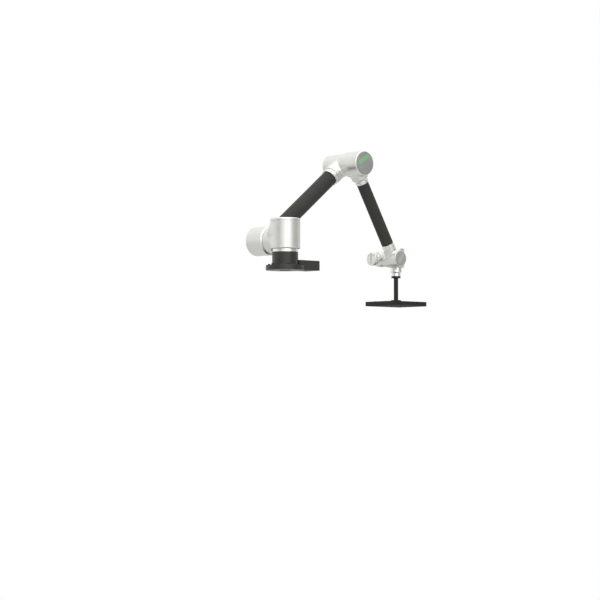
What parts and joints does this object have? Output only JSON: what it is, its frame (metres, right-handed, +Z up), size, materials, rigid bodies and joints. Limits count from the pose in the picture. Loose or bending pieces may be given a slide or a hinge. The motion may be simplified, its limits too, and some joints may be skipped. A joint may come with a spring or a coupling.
{
  "type": "collaborative robot arm",
  "caption": "Jointed robot arm with turning silver housings and dark tubes on a round bolt-down pedestal, holding a flat vacuum gripper plate on a pole.",
  "frame": {"origin": "centre of the mounting face, on the axis of the first joint", "axes": "+Z up along the first joint's axis, +X the direction of reach in the stored pose, +Y the side that carries the upper arm"},
  "size_m": [1.4861, 0.432, 1.0112],
  "materials": {
    "cast_silver": "bead-blasted, clear anodised",
    "cover_silver": "bead-blasted, clear anodised",
    "machined_silver": "turned, satin",
    "tube_charcoal": "hard anodised, charcoal satin",
    "cap_grey": "fine moulded texture",
    "stripe_green": "satin inlay",
    "base_black": "black powder coat",
    "box_black": "black powder coat",
    "socket_black": "moulded",
    "tool_black": "black anodised",
    "foam": "closed-cell foam skin",
    "screw_steel": "plain",
    "gear_steel": "ground",
    "coil_copper": "enamelled copper windings in a laminated core",
    "rotor_steel": "ground"
  },
  "bodies": {
    "base": {"mounting_plate": "base_black", "base_casting": "base_black", "base_ring": "machined_silver", "base_screws": "screw_steel", "connector_box": "box_black", "connector_box_cover": "box_black", "power_socket": "socket_black"},
    "shoulder": {"shoulder_housing": "cast_silver", "shoulder_cover": "cover_silver", "shoulder_screws": "screw_steel", "joint_1_gear": "gear_steel", "joint_1_stator": "coil_copper"},
    "upper_arm": {"shoulder_drum": "cast_silver", "shoulder_drum_cap": "cover_silver", "upper_arm_lower_collar": "machined_silver", "upper_arm_tube": "tube_charcoal", "upper_arm_upper_collar": "machined_silver", "elbow_casting": "cast_silver", "elbow_end_cover": "cover_silver", "upper_arm_screws": "screw_steel", "joint_2_gear": "gear_steel", "joint_2_stator": "coil_copper"},
    "forearm": {"elbow_housing": "cast_silver", "elbow_cap": "cap_grey", "elbow_cap_stripe": "stripe_green", "forearm_upper_collar": "machined_silver", "forearm_tube": "tube_charcoal", "forearm_lower_collar": "machined_silver", "wrist_housing": "cast_silver", "wrist_cap": "cap_grey", "wrist_cap_stripe": "stripe_green", "forearm_screws": "screw_steel", "joint_3_gear": "gear_steel", "joint_3_stator": "coil_copper", "joint_4_gear": "gear_steel", "joint_4_stator": "coil_copper"},
    "wrist_1": {"wrist_1_housing": "cast_silver", "wrist_1_cap": "cover_silver", "wrist_1_cap_stripe": "stripe_green", "wrist_1_screws": "screw_steel", "joint_5_gear": "gear_steel", "joint_5_stator": "coil_copper"},
    "wrist_2": {"wrist_2_housing": "cast_silver", "wrist_2_cap": "cover_silver", "wrist_2_screws": "screw_steel", "joint_6_gear": "gear_steel", "joint_6_stator": "coil_copper"},
    "tool": {"tool_flange": "machined_silver", "tool_adapter": "tool_black", "tool_screws": "screw_steel", "gripper_pole": "tool_black", "pole_foot": "tool_black", "gripper_plate": "tool_black", "foam_pad": "foam"},
    "rotor_1": {"joint_1_rotor": "rotor_steel"},
    "rotor_2": {"joint_2_rotor": "rotor_steel"},
    "rotor_3": {"joint_3_rotor": "rotor_steel"},
    "rotor_4": {"joint_4_rotor": "rotor_steel"},
    "rotor_5": {"joint_5_rotor": "rotor_steel"},
    "rotor_6": {"joint_6_rotor": "rotor_steel"}
  },
  "joints": [
    {"name": "joint_1", "type": "hinge", "parent": "base", "child": "shoulder", "pos_m": [0, 0, 0.2], "axis": [0, 0, 1], "range_deg": [-360, 360]},
    {"name": "joint_2", "type": "hinge", "parent": "shoulder", "child": "upper_arm", "pos_m": [0, 0.1, 0.197], "axis": [0, -1, 0], "range_deg": [-90, 165]},
    {"name": "joint_3", "type": "hinge", "parent": "upper_arm", "child": "forearm", "pos_m": [0.68527, 0.1, 0.73625], "axis": [0, -1, 0], "range_deg": [-32, 160]},
    {"name": "joint_4", "type": "hinge", "parent": "forearm", "child": "wrist_1", "pos_m": [1.05506, 0.1, 0.12081], "axis": [0, -1, 0], "range_deg": [-120, 140]},
    {"name": "joint_5", "type": "hinge", "parent": "wrist_1", "child": "wrist_2", "pos_m": [1.13506, 0.176, 0.12081], "axis": [1, 0, 0], "range_deg": [-360, 360]},
    {"name": "joint_6", "type": "hinge", "parent": "wrist_2", "child": "tool", "pos_m": [1.19806, 0.176, 0.1], "axis": [0, 0, 1], "range_deg": [-360, 360]},
    {"name": "rotor_1_spin", "type": "hinge", "parent": "shoulder", "child": "rotor_1", "pos_m": [0, 0, 0.2], "axis": [0, 0, 1], "range_deg": [-36360, 36360]},
    {"name": "rotor_2_spin", "type": "hinge", "parent": "upper_arm", "child": "rotor_2", "pos_m": [0, 0.1, 0.197], "axis": [0, -1, 0], "range_deg": [-9090, 16665]},
    {"name": "rotor_3_spin", "type": "hinge", "parent": "forearm", "child": "rotor_3", "pos_m": [0.68527, 0.1, 0.73625], "axis": [0, -1, 0], "range_deg": [-3232, 16160]},
    {"name": "rotor_4_spin", "type": "hinge", "parent": "forearm", "child": "rotor_4", "pos_m": [1.05506, 0.1, 0.12081], "axis": [0, -1, 0], "range_deg": [-14140, 12120]},
    {"name": "rotor_5_spin", "type": "hinge", "parent": "wrist_1", "child": "rotor_5", "pos_m": [1.13506, 0.176, 0.12081], "axis": [1, 0, 0], "range_deg": [-36360, 36360]},
    {"name": "rotor_6_spin", "type": "hinge", "parent": "wrist_2", "child": "rotor_6", "pos_m": [1.19806, 0.176, 0.1], "axis": [0, 0, 1], "range_deg": [-36360, 36360]}
  ],
  "couplings": [
    {"joint": "rotor_1_spin", "follows": "joint_1", "ratio": 101},
    {"joint": "rotor_2_spin", "follows": "joint_2", "ratio": 101},
    {"joint": "rotor_3_spin", "follows": "joint_3", "ratio": 101},
    {"joint": "rotor_4_spin", "follows": "joint_4", "ratio": -101},
    {"joint": "rotor_5_spin", "follows": "joint_5", "ratio": -101},
    {"joint": "rotor_6_spin", "follows": "joint_6", "ratio": -101}
  ]
}
